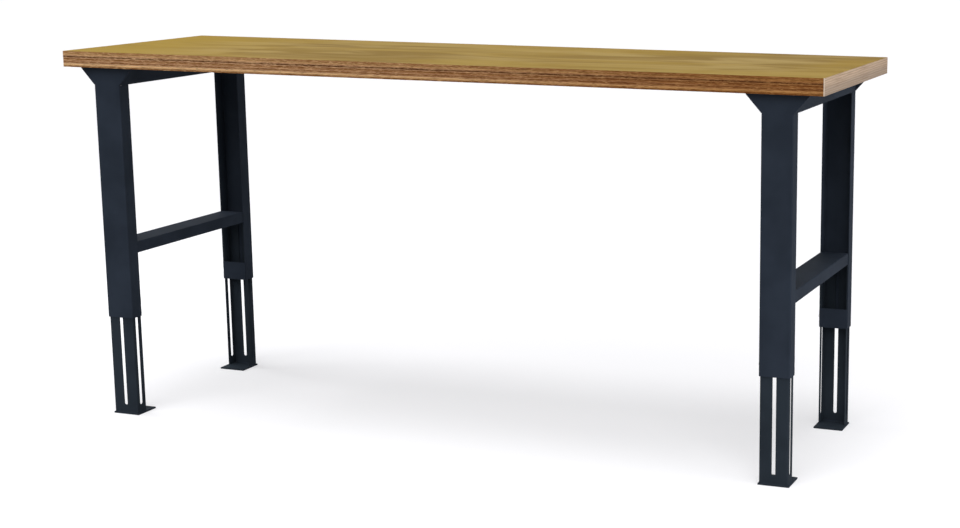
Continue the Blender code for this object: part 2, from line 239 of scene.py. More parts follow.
class Wire:
    """A socket of a node tree. Arithmetic on it adds Math nodes to the tree."""

    def __init__(self, graph, socket):
        self.graph = graph
        self.socket = socket

    def out(self, name):
        """Another output of the same node."""
        return Wire(self.graph, self.socket.node.outputs[name])

    def __add__(self, other):
        return self.graph.maths("ADD", self, other)

    def __radd__(self, other):
        return self.graph.maths("ADD", other, self)

    def __sub__(self, other):
        return self.graph.maths("SUBTRACT", self, other)

    def __rsub__(self, other):
        return self.graph.maths("SUBTRACT", other, self)

    def __mul__(self, other):
        return self.graph.maths("MULTIPLY", self, other)

    def __rmul__(self, other):
        return self.graph.maths("MULTIPLY", other, self)

    def __truediv__(self, other):
        return self.graph.maths("DIVIDE", self, other)

    def __mod__(self, other):
        return self.graph.maths("FLOORED_MODULO", self, other)

    def __pow__(self, other):
        return self.graph.maths("POWER", self, other)

    def __gt__(self, other):
        return self.graph.maths("GREATER_THAN", self, other)

    def __lt__(self, other):
        return self.graph.maths("LESS_THAN", self, other)

    def __abs__(self):
        return self.graph.maths("ABSOLUTE", self)

    def __floor__(self):
        return self.graph.maths("FLOOR", self)

    def ramp(self, low, high, start=0.0, end=1.0):
        """A smooth rise from start, where this value is low, to end, where it is high."""
        limits = {"Value": self, "From Min": low, "From Max": high, "To Min": start, "To Max": end}
        return self.graph.add("ShaderNodeMapRange", {"interpolation_type": "SMOOTHSTEP"}, limits)


class Graph:
    """Adds nodes to a shader tree or a geometry tree."""

    def __init__(self, tree):
        self.tree = tree

    def feed(self, socket, value):
        """Links or sets one socket."""
        if isinstance(value, Wire):
            self.tree.links.new(value.socket, socket)
        else:
            socket.default_value = value

    def add(self, kind, settings=None, inputs=None):
        """A node of a type, with its settings made first and then its sockets set or linked."""
        node = self.tree.nodes.new(kind)
        for name, value in (settings or {}).items():
            if name == "stops":
                self.set_stops(node.color_ramp.elements, value)
            elif name == "steps":
                node.color_ramp.interpolation = value
            else:
                setattr(node, name, value)
        sockets = [socket for socket in node.inputs if socket.enabled]
        by_name = {socket.name: socket for socket in reversed(sockets)}
        for key, value in (inputs or {}).items():
            self.feed(sockets[key] if isinstance(key, int) else by_name[key], value)
        return Wire(self, next((socket for socket in node.outputs if socket.enabled), None))

    @staticmethod
    def set_stops(elements, stops):
        """Fills a colour ramp with places and colours."""
        while len(elements) < len(stops):
            elements.new(1.0)
        for element, (place, colour) in zip(elements, stops):
            element.position = place
            element.color = colour

    def maths(self, operation, *values):
        return self.add("ShaderNodeMath", {"operation": operation}, dict(enumerate(values)))

    def vector(self, operation, *values):
        return self.add("ShaderNodeVectorMath", {"operation": operation}, dict(enumerate(values)))

    def mix(self, factor, first, second, blend="MIX"):
        """A blend of two colours."""
        settings = {"data_type": "RGBA", "blend_type": blend}
        return self.add("ShaderNodeMix", settings, {"Factor": factor, "A": first, "B": second})

    def noise(self, place, stretch, detail=2.0, distortion=0.0, roughness=0.5):
        """Noise with a number of features to the metre along each axis."""
        stretched = self.vector("MULTIPLY", place, stretch)
        inputs = {"Vector": stretched, "Scale": 1.0, "Detail": detail,
                  "Distortion": distortion, "Roughness": roughness}
        return self.add("ShaderNodeTexNoise", {"noise_dimensions": "3D"}, inputs)

    def even_noise(self, place, density, detail):
        """Noise with the same number of features to the metre along every axis."""
        return self.noise(place, (density, density, density), detail)

    def strips(self, along, across, seed, detail):
        """Noise over two values, such as a place along an edge and a ply, with a third as its seed."""
        place = self.add("ShaderNodeCombineXYZ", {}, {0: along, 1: across, 2: seed})
        return self.add("ShaderNodeTexNoise", {}, {"Vector": place, "Scale": 1.0, "Detail": detail})

    def place(self):
        """The point being shaded, in the object's own coordinates."""
        return self.add("ShaderNodeTexCoord").out("Object")

    def bump(self, height, strength, distance):
        return self.add("ShaderNodeBump", {}, {"Height": height, "Strength": strength, "Distance": distance})


def surface(name, **values):
    """A new material with its graph and a way to feed its shader."""
    material = bpy.data.materials.new(name)
    material.use_nodes = True
    graph = Graph(material.node_tree)
    sockets = material.node_tree.nodes["Principled BSDF"].inputs

    def feed(socket, value):
        graph.feed(sockets[socket], value)

    for socket, value in values.items():
        feed(socket.replace("_", " "), value)
    return material, graph, feed


def tone(colour, share):
    """A darker or lighter tone of a colour."""
    return tuple(share * value for value in colour[:3]) + (1.0,)


def powder_coat(name, colour, texture):
    """Satin anthracite powder coat with a fine cured texture."""
    material, graph, feed = surface(name, Metallic=0.0, Specular_IOR_Level=STEEL_SPECULAR)
    place = graph.place()
    cloud = graph.even_noise(place, CLOUDS_PER_METRE, detail=3.0)
    peel = graph.even_noise(place, PEEL_PER_METRE, detail=1.0)
    grain = graph.even_noise(place, GRAIN_PER_METRE, detail=1.0)
    base = graph.mix(cloud.ramp(0.35, 0.65), tone(colour, DEEP_SHARE), tone(colour, LIGHT_SHARE))
    feed("Base Color", graph.mix(grain.ramp(0.62, 0.78) * 0.55, base, tone(colour, FLECK_SHARE)))
    feed("Roughness", STEEL_ROUGHNESS + 0.10 * grain + 0.05 * cloud)
    feed("Normal", graph.bump(peel + 0.6 * grain, texture, TEXTURE_DEPTH))
    return material


def zinc_plate():
    """Bright zinc plate with a faint cloudy tint and fine turning marks."""
    material, graph, feed = surface("bright_zinc", Metallic=1.0)
    place = graph.place()
    cloud = graph.even_noise(place, ZINC_CLOUDS_PER_METRE, detail=3.0)
    marks = graph.noise(place, TURNING_MARKS, detail=2.0)
    feed("Base Color", graph.mix(cloud.ramp(0.3, 0.7), ZINC_BLUE, ZINC_YELLOW))
    feed("Roughness", ZINC_ROUGHNESS + 0.16 * marks + 0.10 * cloud)
    feed("Normal", graph.bump(marks, 0.25, TURNING_DEPTH))
    return material


# Tones of the coated and plated steel
FRAME_GREY = srgb(45, 52, 63)
LEG_GREY = srgb(43, 50, 58)
BEAD_GREY = srgb(43, 50, 60)
ZINC_BLUE = srgb(186, 190, 196)
ZINC_YELLOW = srgb(206, 203, 190)

# Tones of the plies on the board's edges, and their order from the underside up
UMBER = srgb(98, 58, 30)
BROWN = srgb(170, 128, 82)
RUSSET = srgb(174, 124, 82)
ROSE = srgb(186, 140, 104)
TAN = srgb(208, 162, 112)
PALE = srgb(246, 202, 150)
BARK = srgb(138, 92, 54)
SOOT = srgb(66, 34, 16)
PLY_TONES = (BARK, TAN, PALE, ROSE, BARK, ROSE, RUSSET, BARK, ROSE, SOOT, ROSE, TAN, BROWN, RUSSET, BROWN)
PLY_TONE_RISE = 0.35
PLY_RAGGEDNESS = 0.9
PLY_WAVER = 0.30
FACING_RAMP = (0.55, 0.80)
EDGE_SHADE = (0.60, 0.46, 0.30, 1.0)
EDGE_SHADE_CURVE = 1.8
PORE = srgb(96, 60, 34)
VENEER_DEEP = srgb(130, 105, 54)
VENEER_PALE = srgb(164, 141, 88)
VENEER_GOLD = srgb(156, 129, 58)
VENEER_LEFT = srgb(152, 126, 50)
SAWN_END = srgb(224, 200, 176)
# Painted shade: the sawn ends turn darker and greyer low down
SAWN_PAINTED_SHADE = srgb(194, 177, 160)
SAWN_LINE = srgb(150, 120, 98)
# A near-white painted highlight on the board's upright corners
CORNER_PAINTED_HIGHLIGHT = srgb(252, 238, 218)
GLUE = srgb(86, 56, 34)


def veneer_colour(graph, along, place):
    """The face veneer: cloudy figure and fine streaks along the board, more golden at its left end."""
    figure = graph.noise(place, (2.4, 8.0, 1.0), detail=3.0, distortion=1.2)
    tint = graph.noise(place, (1.7, 5.0, 1.0), detail=2.0, distortion=0.6)
    bands = graph.noise(place, (1.6, 22.0, 1.0), detail=4.0, distortion=1.0)
    streaks = graph.noise(place, (7.0, 320.0, 1.0), detail=3.0)
    colour = graph.mix(figure.ramp(0.34, 0.66), VENEER_DEEP, VENEER_PALE)
    colour = graph.mix(tint.ramp(0.35, 0.65) * 0.6, colour, VENEER_GOLD)
    colour = graph.mix(along.ramp(-BOARD_SIZE.x * 0.25, -BOARD_SIZE.x * 0.5) * 0.8, colour, VENEER_LEFT)
    colour = graph.mix(bands.ramp(0.54, 0.74) * 0.40, colour, VENEER_DEEP)
    colour = graph.mix(streaks.ramp(0.50, 0.78) * 0.22, colour, VENEER_DEEP)
    return colour, streaks


def edge_colour(graph, level, along, place):
    """The plies that show on the board's edges, each with its own tone, streaks or pores."""
    index = math.floor(level)
    ragged = graph.strips(along * 9.0, level * 0.8, seed=0.0, detail=5.0)
    shown = level - PLY_TONE_RISE + (ragged - 0.5) * PLY_RAGGEDNESS
    stops = [(number / PLIES, colour) for number, colour in enumerate(PLY_TONES)]
    colour = graph.add("ShaderNodeValToRGB", {"stops": stops, "steps": "CONSTANT"}, {0: shown / PLIES})
    drift = graph.strips(along * 2.4, index * 7.31, seed=0.0, detail=3.0)
    streaks = graph.strips(along * 16.0, level * 1.5, seed=5.2, detail=4.0)
    fine = graph.strips(along * 85.0, level * 2.6, seed=9.4, detail=3.0)
    pores = graph.even_noise(place, PORES_PER_METRE, detail=2.0)
    crossed = (index % 2) > 0.5
    colour = graph.mix(drift.ramp(0.36, 0.64) * 0.15, colour, BROWN)
    colour = graph.mix(streaks.ramp(0.55, 0.66) * 0.50, colour, UMBER)
    colour = graph.mix(streaks.ramp(0.44, 0.34) * 0.40, colour, PALE)
    colour = graph.mix(fine.ramp(0.54, 0.66) * 0.60, colour, UMBER)
    colour = graph.mix(fine.ramp(0.46, 0.34) * 0.55, colour, PALE)
    colour = graph.mix(pores.ramp(0.56, 0.70) * crossed * 0.30, colour, PORE)
    shaded = along.ramp(-BOARD_SIZE.x / 2, BOARD_SIZE.x / 2) ** EDGE_SHADE_CURVE
    return graph.mix(shaded, colour, EDGE_SHADE, "MULTIPLY"), streaks, pores


def sawn_colour(graph, edge, level, place):
    """The board's sawn ends: pale, with painted shade low down, every other ply darker and fine lines along
    them.
    """
    lines = graph.noise(place, (1.0, 9.0, 620.0), detail=3.0)
    ragged = graph.noise(place, (1.0, 26.0, 120.0), detail=2.0)
    crossed = (math.floor(level + ragged * 1.2) % 2) > 0.5
    # Painted shade: the sawn end darkens and greys towards the underside
    pale = graph.mix(level.ramp(PLIES * 0.30, PLIES * 0.65), SAWN_PAINTED_SHADE, SAWN_END)
    sawn = graph.mix(0.86, edge, pale)
    sawn = graph.mix(crossed * 0.34, sawn, SAWN_LINE)
    return graph.mix(lines.ramp(0.46, 0.66) * 0.45, sawn, SAWN_LINE)


def near_edge(axis, middle, half):
    """1 on the strip of painted highlight at the two edges across an axis, and 0 further in."""
    return abs(axis - middle).ramp(half - PAINTED_HIGHLIGHT_REACH, half - PAINTED_HIGHLIGHT_REACH / 2)


def plywood():
    """Clear-sealed plywood: a golden veneer face, striped long edges, pale sawn ends and painted highlight on
    its corners.
    """
    material, graph, feed = surface("sealed_plywood", Specular_IOR_Level=BOARD_SPECULAR)
    place = graph.place()
    facing = graph.add("ShaderNodeSeparateXYZ", {}, {0: graph.add("ShaderNodeTexCoord").out("Normal")})
    flat = abs(facing.out("Z")).ramp(*FACING_RAMP)
    ended = abs(facing).ramp(*FACING_RAMP)
    axes = graph.add("ShaderNodeSeparateXYZ", {}, {0: place})
    near_end = near_edge(axes, BOARD_MIDDLE.x, BOARD_SIZE.x / 2)
    # Mask of the painted highlight on the board's upright corners
    corner = near_end * near_edge(axes.out("Y"), BOARD_MIDDLE.y, BOARD_SIZE.y / 2)
    waver = graph.noise(place, (2.5, 2.5, 0.0), detail=1.0)
    level = (axes.out("Z") - board_low.z) / PLY_THICKNESS + (waver - 0.5) * PLY_WAVER
    face, face_streaks = veneer_colour(graph, axes, place)
    edge, edge_streaks, pores = edge_colour(graph, level, axes, place)
    apart = abs(level % 1.0 - 0.5) * PLY_THICKNESS
    glue = apart.ramp(PLY_THICKNESS / 2 - GLUE_LINE_HALF * 1.6, PLY_THICKNESS / 2 - GLUE_LINE_HALF * 0.4)
    edge = graph.mix(glue * 0.45, edge, GLUE)
    edge = graph.mix(ended, edge, sawn_colour(graph, edge, level, place))
    shown = graph.mix(flat, edge, face)
    # Painted highlight: the upright corners are lightened towards near white.
    feed("Base Color", graph.mix(corner * 0.7, shown, CORNER_PAINTED_HIGHLIGHT))
    feed("Roughness", BOARD_ROUGHNESS + 0.10 * face_streaks)
    height = flat * face_streaks * 0.5 + (1 - flat) * (edge_streaks + 0.6 * pores)
    feed("Normal", graph.bump(height, 0.30, TEXTURE_DEPTH))
    return material


def geometry_tree(name, sockets):
    """A geometry tree with named inputs, as its graph and the wires of those inputs."""
    tree = bpy.data.node_groups.new(name, "GeometryNodeTree")
    tree.interface.new_socket("Geometry", in_out="INPUT", socket_type="NodeSocketGeometry")
    for socket, kind in sockets.items():
        tree.interface.new_socket(socket, in_out="INPUT", socket_type=f"NodeSocket{kind}")
    tree.interface.new_socket("Geometry", in_out="OUTPUT", socket_type="NodeSocketGeometry")
    graph = Graph(tree)
    start = graph.add("NodeGroupInput")
    return graph, start


def close_tree(graph, geometry, coat):
    """Ends a tree in Realize Instances and Set Material."""
    real = graph.add("GeometryNodeRealizeInstances", {}, {"Geometry": geometry})
    coated = graph.add("GeometryNodeSetMaterial", {}, {"Geometry": real, "Material": coat})
    graph.add("NodeGroupOutput", {}, {"Geometry": coated})


def as_object(name, data):
    """A new object in the scene, at the origin."""
    made = bpy.data.objects.new(name, data)
    bpy.context.scene.collection.objects.link(made)
    return made


def mesh_object(name, shape):
    """A bmesh as an object."""
    mesh = bpy.data.meshes.new(name)
    shape.to_mesh(mesh)
    shape.free()
    return as_object(name, mesh)


def plain(source, name):
    """The object's evaluated shape as a plain mesh object, in place of the object."""
    depsgraph = bpy.context.evaluated_depsgraph_get()
    mesh = bpy.data.meshes.new_from_object(source.evaluated_get(depsgraph), depsgraph=depsgraph)
    mesh.name = name
    bpy.data.objects.remove(source)
    return as_object(name, mesh)


def grown(source, graph, values, name):
    """Runs a geometry tree on an object, with its inputs set by their identifiers."""
    modifier = source.modifiers.new("tree", "NODES")
    modifier.node_group = graph.tree
    for item in graph.tree.interface.items_tree:
        if item.in_out == "INPUT" and item.name in values:
            modifier[item.identifier] = values[item.name]
    return plain(source, name)


def smooth(piece, angle=SHARP_ANGLE):
    """Smooth shading with crisp edges, weighted so that flat faces stay flat."""
    mesh = piece.data
    mesh.polygons.foreach_set("use_smooth", [True] * len(mesh.polygons))
    mesh.set_sharp_from_angle(angle=angle)
    weighted = piece.modifiers.new("flat_faces", "WEIGHTED_NORMAL")
    weighted.keep_sharp = True
    weighted.weight = FLAT_FACE_WEIGHT
    return plain(piece, piece.name)


def finish_piece(piece, body, slot, nodes, coat=None):
    """Gives a piece its material, if a coat is given, and its body, and hides the CAD nodes that it stands
    for.
    """
    if coat is not None:
        piece.data.materials.clear()
        piece.data.materials.append(coat)
    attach(piece, body)
    if nodes:
        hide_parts(*nodes)
    return piece


def coated_steel(node, coat):
    """A CAD steel piece with its cut and folded edges rounded by the coat."""
    shape = bmesh.new()
    shape.from_mesh(frame["nodes"][node].data)
    bmesh.ops.remove_doubles(shape, verts=shape.verts, dist=MERGE_DISTANCE)
    bmesh.ops.dissolve_limit(shape, angle_limit=FLAT_ANGLE, verts=shape.verts, edges=shape.edges)
    sharp = [edge for edge in shape.edges if edge.calc_face_angle(0.0) > SHARP_ANGLE]
    bmesh.ops.bevel(shape, geom=sharp, offset=EDGE_ROUNDING, segments=EDGE_SEGMENTS, profile=0.5,
                    affect="EDGES", clamp_overlap=True)
    piece = smooth(mesh_object(f"{node}_coated", shape), ROUND_ANGLE)
    body = frame["nodes"][node]["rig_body"]
    return finish_piece(piece, body, SLOT_OF[node], [node], coat)


def board_tree():
    """The board's rule: one level of points for each ply's joint, and a fine groove and step there."""
    sockets = {"Size": "Vector", "Middle": "Vector", "Plies": "Int", "Groove": "Float", "Step": "Float",
               "Coat": "Material"}
    graph, start = geometry_tree("plywood_board", sockets)
    plies = start.out("Plies")
    cube = graph.add("GeometryNodeMeshCube", {}, {
        "Size": start.out("Size"), "Vertices X": 2, "Vertices Y": 2,
        "Vertices Z": plies * LEVELS_PER_PLY + 1,
    })
    where = graph.add("ShaderNodeSeparateXYZ", {}, {0: graph.add("GeometryNodeInputPosition")})
    size = graph.add("ShaderNodeSeparateXYZ", {}, {0: start.out("Size")})
    height = where.out("Z") / size.out("Z") + 0.5
    level = height * plies
    joint = abs(graph.maths("SINE", level * math.pi)) < JOINT_BAND
    inside = abs(height - 0.5) < BOARD_INNER_HALF
    pull = graph.maths("SINE", level * (2 * math.pi)) * inside * (-ROW_PULL * PLY_THICKNESS)
    ply = math.floor(level + ROW_NUDGE)
    chance = graph.add("ShaderNodeTexWhiteNoise", {"noise_dimensions": "1D"}, {"W": ply})
    inset = (joint * start.out("Groove") + chance * start.out("Step")) * inside
    offset = graph.add("ShaderNodeCombineXYZ", {}, {
        0: graph.maths("SIGN", where) * inset * -1,
        1: graph.maths("SIGN", where.out("Y")) * inset * -1,
        2: pull,
    })
    moved = graph.vector("ADD", offset, start.out("Middle"))
    board = graph.add("GeometryNodeSetPosition", {}, {"Geometry": cube, "Offset": moved})
    close_tree(graph, board, start.out("Coat"))
    return graph


def ring_points(kind, size, sides):
    """Angles and reaches of a round ring, or of a hexagonal one of half a width across flats."""
    for step in range(sides):
        angle = 2 * math.pi * step / sides
        corner = math.cos(angle % (math.pi / 3) - math.pi / 6) if kind == "hex" else 1.0
        yield angle, size / corner


def turned(shape, sections, sides, hollow=False, centre=(0.0, 0.0)):
    """Adds a solid about an upright axis, from sections that are each a kind, a size and a height.

    A fourth value is a slope by which the corners of a hexagon are chamfered. A hollow solid joins
    its last section back to its first, and any other one is closed by end faces.
    """
    rings = []
    for kind, size, height, *slope in sections:
        ring = []
        for angle, reach in ring_points(kind, size, sides):
            fall = slope[0] * (reach - CHAMFER_START * size) if slope else 0.0
            ring.append(shape.verts.new((centre[0] + reach * math.cos(angle),
                                         centre[1] + reach * math.sin(angle), height - fall)))
        rings.append(ring)
    if hollow:
        bridge(shape, rings + rings[:1])
        return
    bridge(shape, rings)
    shape.faces.new(list(reversed(rings[0])))
    shape.faces.new(rings[-1])


def bridge(shape, rings):
    """Faces between rings of as many points each."""
    for first, second in zip(rings, rings[1:]):
        for step, start in enumerate(first):
            after = (step + 1) % len(first)
            shape.faces.new([start, first[after], second[after], second[step]])


def cut_away(piece, cutter):
    """Takes a closed cutter out of a piece."""
    boolean = piece.modifiers.new("cut", "BOOLEAN")
    boolean.operation = "DIFFERENCE"
    boolean.solver = "EXACT"
    boolean.object = cutter
    result = plain(piece, piece.name)
    bpy.data.objects.remove(cutter)
    return result


def merged(piece):
    """Joins the doubled points that a cut can leave."""
    shape = bmesh.new()
    shape.from_mesh(piece.data)
    bmesh.ops.remove_doubles(shape, verts=shape.verts, dist=MERGE_DISTANCE)
    shape.to_mesh(piece.data)
    shape.free()
    return piece


def screw_seats():
    """The worktop screws' axes, with the height of each one's seat under its head."""
    for node in SCREWS:
        low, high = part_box(node)
        yield (low.x + high.x) / 2, (low.y + high.y) / 2, low.z + SCREW_HEAD_HEIGHT


def make_board(coat):
    """The plywood board with fine joints on its edges, rounded arrises and pilot holes."""
    values = {"Size": BOARD_SIZE, "Middle": BOARD_MIDDLE, "Plies": PLIES, "Groove": GLUE_GROOVE,
              "Step": PLY_STEP, "Coat": coat}
    board = grown(mesh_object("board_seed", bmesh.new()), board_tree(), values, "worktop_board")
    arris = board.modifiers.new("arris", "BEVEL")
    arris.width = BOARD_ARRIS
    arris.segments = ARRIS_SEGMENTS
    arris.angle_limit = ARRIS_ANGLE
    arris.limit_method = "ANGLE"
    board = plain(board, "worktop_board")
    holes = bmesh.new()
    radius = SCREW_RADIUS + HOLE_CLEARANCE
    for x, y, z in screw_seats():
        ends = [("round", radius, board_low.z - SHEET), ("round", radius, z + SCREW_LENGTH + HOLE_CLEARANCE)]
        turned(holes, ends, HOLE_SIDES, centre=(x, y))
    board = cut_away(board, mesh_object("pilot_holes", holes))
    board = smooth(merged(board), ROUND_ANGLE)
    return finish_piece(board, "table_frame", "worktop", ["worktop"], coat)


def threaded_rod(shape, radius, depth, pitch, low, high, taper, sides, per_turn):
    """Adds a rod about an upright axis with a helical thread, drawn in to a point or a chamfer at its top."""
    rows = int((high - low) / pitch * per_turn)
    rings = []
    for row in range(rows + 1):
        z = low + (high - low) * row / rows
        left = min(1.0, (high - z) / taper)
        ring = []
        for step in range(sides):
            phase = (z / pitch - step / sides) % 1.0
            crest = 1 - abs(2 * phase - 1)
            reach = (radius - depth * (1 - crest)) * (THREAD_POINT + (1 - THREAD_POINT) * left)
            angle = 2 * math.pi * step / sides
            ring.append(shape.verts.new((reach * math.cos(angle), reach * math.sin(angle), z)))
        rings.append(ring)
    bridge(shape, rings)
    shape.faces.new(list(reversed(rings[0])))
    shape.faces.new(rings[-1])


def lay_along_x(shape):
    """Turns a shape from an upright axis to one along +X."""
    bmesh.ops.rotate(shape, verts=shape.verts, matrix=Matrix.Rotation(math.pi / 2, 3, "Y"))


def repeat_tree():
    """One copy of a shape on every point."""
    graph, start = geometry_tree("repeat_on_points", {"Shape": "Object", "Coat": "Material"})
    shape = graph.add("GeometryNodeObjectInfo", {}, {"Object": start.out("Shape"), "As Instance": True})
    points = graph.add("GeometryNodeMeshToPoints", {}, {"Mesh": start})
    pairs = {"Points": points, "Instance": shape.out("Geometry")}
    copies = graph.add("GeometryNodeInstanceOnPoints", {}, pairs)
    close_tree(graph, copies, start.out("Coat"))
    return graph


def repeated(tree, name, shape, places, nodes, coat):
    """A fastener repeated at its places, as one mesh."""
    pattern = smooth(mesh_object("pattern", shape))
    seeds = bmesh.new()
    for place in places:
        seeds.verts.new(place)
    piece = grown(mesh_object("seeds", seeds), tree, {"Shape": pattern, "Coat": coat}, name)
    bpy.data.objects.remove(pattern)
    return finish_piece(piece, "table_frame", "zinc", nodes)


def bolt_shape():
    """A button-head bolt along +X from the top of its head, with a hexagon socket."""
    rim, height = BOLT_HEAD_RADIUS, BOLT_HEAD_HEIGHT
    dome = (rim ** 2 + height ** 2) / (2 * height)
    sections = [
        ("hex", BOLT_SOCKET, BOLT_SOCKET_DEPTH),
        ("hex", BOLT_SOCKET, SOFT_RIM),
        ("round", BOLT_HEAD_FLAT, 0.0),
    ]
    for step in range(1, BOLT_DOME_STEPS + 1):
        radius = BOLT_HEAD_FLAT + (rim - BOLT_HEAD_FLAT) * step / BOLT_DOME_STEPS
        sections.append(("round", radius, dome - math.sqrt(dome ** 2 - radius ** 2)))
    sections.append(("round", BOLT_RADIUS - BOLT_THREAD_DEPTH, height))
    shape = bmesh.new()
    turned(shape, sections, HEX_SIDES)
    threaded_rod(shape, BOLT_RADIUS, BOLT_THREAD_DEPTH, BOLT_PITCH, height - SOFT_RIM, BOLT_LENGTH,
                 BOLT_TIP, BOLT_THREAD_SIDES, BOLT_ROWS_PER_TURN)
    lay_along_x(shape)
    return shape


def nut_shape():
    """A hexagon nut along +X from its seat, with chamfered corners and thread mouths."""
    bore = BOLT_RADIUS + HOLE_CLEARANCE
    flats, mouth = HEX_FLATS / 2, 2 * SOFT_RIM
    sections = [
        ("round", flats * CHAMFER_START, 0.0),
        ("hex", flats, 0.0, -CHAMFER_SLOPE),
        ("hex", flats, NUT_HEIGHT, CHAMFER_SLOPE),
        ("round", flats * CHAMFER_START, NUT_HEIGHT),
        ("round", bore + mouth, NUT_HEIGHT),
        ("round", bore, NUT_HEIGHT - mouth),
        ("round", bore, mouth),
        ("round", bore + mouth, 0.0),
    ]
    shape = bmesh.new()
    turned(shape, sections, HEX_SIDES, hollow=True)
    lay_along_x(shape)
    return shape


def washer_shape():
    """A stamped washer along +X, with one rounded rim."""
    sections = [
        ("round", WASHER_BORE, 0.0),
        ("round", WASHER_RADIUS, 0.0),
        ("round", WASHER_RADIUS, WASHER_THICKNESS - SOFT_RIM),
        ("round", WASHER_RADIUS - SOFT_RIM, WASHER_THICKNESS),
        ("round", WASHER_BORE + SOFT_RIM, WASHER_THICKNESS),
        ("round", WASHER_BORE, WASHER_THICKNESS - SOFT_RIM),
    ]
    shape = bmesh.new()
    turned(shape, sections, WASHER_SIDES, hollow=True)
    lay_along_x(shape)
    return shape


def cross_recess():
    """The cross that a screwdriver fits, as one closed cutter that narrows upwards."""
    radius, depth = SCREW_HEAD_RADIUS, SCREW_HEAD_HEIGHT
    recess = bmesh.new()
    for across in (0.0, math.pi / 2):
        wing = bmesh.ops.create_cube(recess, size=1.0)["verts"]
        for vert in wing:
            narrow = CROSS_NARROWING if vert.co.z > 0 else 1.0
            vert.co.x *= radius * CROSS_LENGTH * narrow
            vert.co.y *= radius * CROSS_WIDTH
            vert.co.z *= depth * CROSS_DEPTH
        bmesh.ops.rotate(recess, verts=wing, matrix=Matrix.Rotation(across, 3, "Z"))
        bmesh.ops.translate(recess, verts=wing, vec=(0.0, 0.0, -depth * CROSS_PLACE))
    cutter = mesh_object("recess", recess)
    joined = cutter.modifiers.new("merge", "REMESH")
    joined.mode = "VOXEL"
    joined.voxel_size = CROSS_VOXEL
    return plain(cutter, "recess")


def screw_shape():
    """A pan-head wood screw about an upright axis, with a cross recess in its head."""
    head = bmesh.new()
    radius, depth = SCREW_HEAD_RADIUS, SCREW_HEAD_HEIGHT
    sections = []
    for angle in (math.radians(degrees) for degrees in SCREW_HEAD_ANGLES):
        fall = SCREW_HEAD_EDGE + (1 - SCREW_HEAD_EDGE) * math.cos(angle)
        sections.append(("round", radius * math.sin(angle), -depth * fall))
    sections.append(("round", radius, 0.0))
    turned(head, sections, SCREW_HEAD_SIDES)
    cut_head = cut_away(mesh_object("screw_head", head), cross_recess())
    shape = bmesh.new()
    shape.from_mesh(cut_head.data)
    bpy.data.objects.remove(cut_head)
    threaded_rod(shape, SCREW_RADIUS, SCREW_THREAD_DEPTH, SCREW_PITCH, -SOFT_RIM, SCREW_LENGTH,
                 SCREW_TIP, SCREW_THREAD_SIDES, SCREW_ROWS_PER_TURN)
    return shape


def weld_tree():
    """A rippled weld bead along every spline, with the spline's radius."""
    sockets = {"Pitch": "Float", "Depth": "Float", "Step": "Float", "Wander": "Float", "Coat": "Material"}
    graph, start = geometry_tree("weld_bead", sockets)
    step = {"Curve": start, "Length": start.out("Step")}
    fine = graph.add("GeometryNodeResampleCurve", {"mode": "LENGTH"}, step)
    place = graph.add("GeometryNodeInputPosition")
    noise = {"Vector": place, "Scale": WANDER_PER_METRE, "Detail": 1.0}
    drift = graph.add("ShaderNodeTexNoise", {}, noise).out("Color")
    offset = graph.vector("SCALE", graph.vector("SUBTRACT", drift, (0.5, 0.5, 0.5)))
    graph.feed(offset.socket.node.inputs["Scale"], start.out("Wander") * 2)
    wandering = graph.add("GeometryNodeSetPosition", {}, {"Geometry": fine, "Offset": offset})
    travelled = graph.add("GeometryNodeSplineParameter").out("Length")
    total = graph.add("GeometryNodeSplineLength")
    thick = graph.add("GeometryNodeInputRadius")
    ripple = (travelled / start.out("Pitch")) % 1.0
    to_end = graph.maths("MINIMUM", travelled, total - travelled) / thick
    cap = graph.maths("MINIMUM", to_end, 1.0)
    domed = (1 - (1 - cap) ** 2.0 * BEAD_END_FALL) ** 0.5
    size = thick * domed * (1 - start.out("Depth") * ripple * ripple)
    section = graph.add("GeometryNodeCurvePrimitiveCircle", {}, {"Resolution": BEAD_SIDES, "Radius": 1.0})
    bead = graph.add("GeometryNodeCurveToMesh", {}, {
        "Curve": wandering, "Profile Curve": section, "Scale": size, "Fill Caps": True,
    })
    shaded = graph.add("GeometryNodeSetShadeSmooth", {}, {"Geometry": bead, "Shade Smooth": True})
    close_tree(graph, shaded, start.out("Coat"))
    return graph


def weld_beads(tree, name, paths, body, slot, coat):
    """Weld beads along straight paths, each with its radius, as one mesh on one body."""
    data = bpy.data.curves.new("bead_paths", "CURVE")
    data.dimensions = "3D"
    for start, end, radius in paths:
        spline = data.splines.new("POLY")
        spline.points.add(1)
        for point, place in zip(spline.points, (start, end)):
            point.co = (*place, 1.0)
            point.radius = radius
    values = {"Pitch": RIPPLE_PITCH, "Depth": RIPPLE_DEPTH, "Step": BEAD_STEP, "Wander": BEAD_WANDER,
              "Coat": coat}
    piece = grown(as_object("bead_paths", data), tree, values, name)
    return finish_piece(piece, body, slot, [])


def leg_point(name, across, inboard, height):
    """A point by a leg: across from its middle, inboard from its web's outer face, above the floor."""
    end, side = name.split("_")
    x = -LEG_X if side == "left" else LEG_X
    y = -LEG_Y + inboard if end == "front" else LEG_Y - inboard
    return x + across, y, height


def upright_bead(name, across, inboard, low, high, radius):
    """A bead that runs up a leg."""
    return leg_point(name, across, inboard, low), leg_point(name, across, inboard, high), radius


def inboard_bead(name, across, near, far, height, radius):
    """A bead that runs along a leg's side, away from its web."""
    return leg_point(name, across, near, height), leg_point(name, across, far, height), radius


def web_bead(name, inboard, height, radius):
    """A bead that runs along a leg's web, from one side to the other."""
    ends = [leg_point(name, across, inboard, height) for across in (-WEB_BEAD_HALF, WEB_BEAD_HALF)]
    return (*ends, radius)


